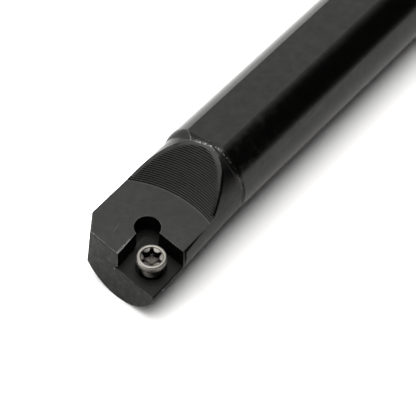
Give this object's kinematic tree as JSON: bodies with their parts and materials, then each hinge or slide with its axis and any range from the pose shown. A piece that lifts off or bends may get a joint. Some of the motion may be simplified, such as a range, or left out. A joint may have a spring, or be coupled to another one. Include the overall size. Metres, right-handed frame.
{
  "type": "boring bar",
  "caption": "Right-hand boring bar: round blackened steel shank with a clamping flat and a head milled for a screw-held rhombic insert.",
  "frame": {"origin": "centre of the shank's front end, on the shank's axis, where the head begins", "axes": "+X along the axis towards the head, +Y to the cutting side, +Z out of the clamping flat"},
  "size_m": [0.1994, 0.0205, 0.0202],
  "materials": {
    "blackened_steel": "satin black oxide on ground steel, worn bright at the edges",
    "bright_steel": "satin bright steel"
  },
  "bodies": {
    "bar": {"bar_body": "blackened_steel"},
    "screw": {"insert_screw": "bright_steel"}
  },
  "joints": [
    {"name": "screw_travel", "type": "slide", "parent": "bar", "child": "screw", "axis": [0.0555, 0.1063, 0.9928], "range_m": [-0.0011, 0.0048]}
  ]
}
